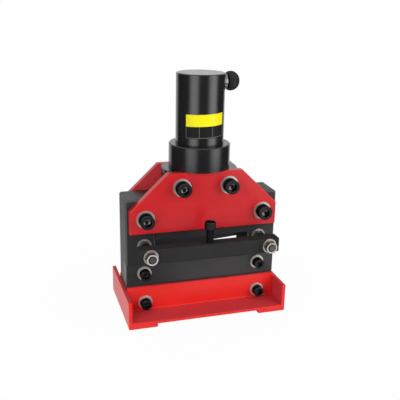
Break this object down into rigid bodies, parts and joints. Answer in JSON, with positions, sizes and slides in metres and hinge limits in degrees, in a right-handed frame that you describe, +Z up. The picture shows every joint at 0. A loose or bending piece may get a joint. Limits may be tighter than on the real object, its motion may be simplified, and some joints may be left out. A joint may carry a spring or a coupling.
{
  "type": "hydraulic busbar cutter",
  "caption": "Bench-standing guillotine cutter for flat busbar: hydraulic ram drives a raked blade between two columns, with a hold-down bar in front.",
  "frame": {"origin": "on the floor under the middle of the outline, midway between the columns", "axes": "+X to the operator's right, +Y to the rear, +Z up along the ram"},
  "size_m": [0.272, 0.1686, 0.4017],
  "materials": {
    "red_paint": "gloss red enamel",
    "black_paint": "satin black",
    "gloss_black": "gloss black",
    "blade_steel": "ground tool steel",
    "black_oxide": "black oxide steel",
    "zinc": "bright zinc plated steel",
    "hard_chrome": "hard chrome",
    "bronze": "bearing bronze",
    "seal_rubber": "matt",
    "spring_steel": "oiled spring steel",
    "cap_rubber": "ribbed moulded rubber"
  },
  "bodies": {
    "frame": {"base_end_left": "red_paint", "base_end_right": "red_paint", "base_front_angle": "red_paint", "base_rear_angle": "red_paint", "base_washers": "zinc", "base_screws": "black_oxide", "column_left": "black_paint", "column_right": "black_paint", "lower_jaw": "black_paint", "lower_blade": "blade_steel", "lower_blade_screws": "black_oxide", "jaw_washers": "zinc", "jaw_screws": "black_oxide", "front_plate": "red_paint", "rear_plate": "red_paint", "frame_bolts": "black_oxide", "frame_nuts": "zinc", "frame_washers": "zinc", "cylinder_head": "gloss_black", "collar": "gloss_black", "barrel": "gloss_black", "gland_bush": "bronze", "rod_wiper": "seal_rubber", "return_spring": "spring_steel", "hold_down_bar": "black_paint", "hold_down_studs": "black_oxide", "stud_lock_nuts": "black_oxide", "bar_nuts": "zinc", "stud_washers": "zinc", "coupler": "zinc"},
    "ram": {"piston_rod": "hard_chrome", "piston_seal": "seal_rubber", "ram_block": "black_paint", "upper_blade": "blade_steel", "upper_blade_screws": "black_oxide"},
    "clamp_tip": {"clamp_tip": "blade_steel"},
    "clamp_screw": {"clamp_screw": "black_oxide"},
    "dust_cap": {"dust_cap": "cap_rubber"}
  },
  "joints": [
    {"name": "ram_slide", "type": "slide", "parent": "frame", "child": "ram", "axis": [0, 0, -1], "range_m": [0, 0.02724], "stiffness_N_per_m": 4000, "springref_m": -0.04, "deforming": ["return_spring"]},
    {"name": "tip_slide", "type": "slide", "parent": "frame", "child": "clamp_tip", "axis": [0, 0, -1], "range_m": [0, 0.0225]},
    {"name": "screw_turn", "type": "hinge", "parent": "clamp_tip", "child": "clamp_screw", "pos_m": [0, -0.0603, 0.15], "axis": [0, 0, -1], "range_deg": [0, 4650]},
    {"name": "cap_pull", "type": "slide", "parent": "frame", "child": "dust_cap", "axis": [1, 0, 0], "range_m": [0, 0.03]}
  ],
  "couplings": [
    {"joint": "screw_turn", "follows": "tip_slide", "rad_per_m": 3590.4}
  ]
}
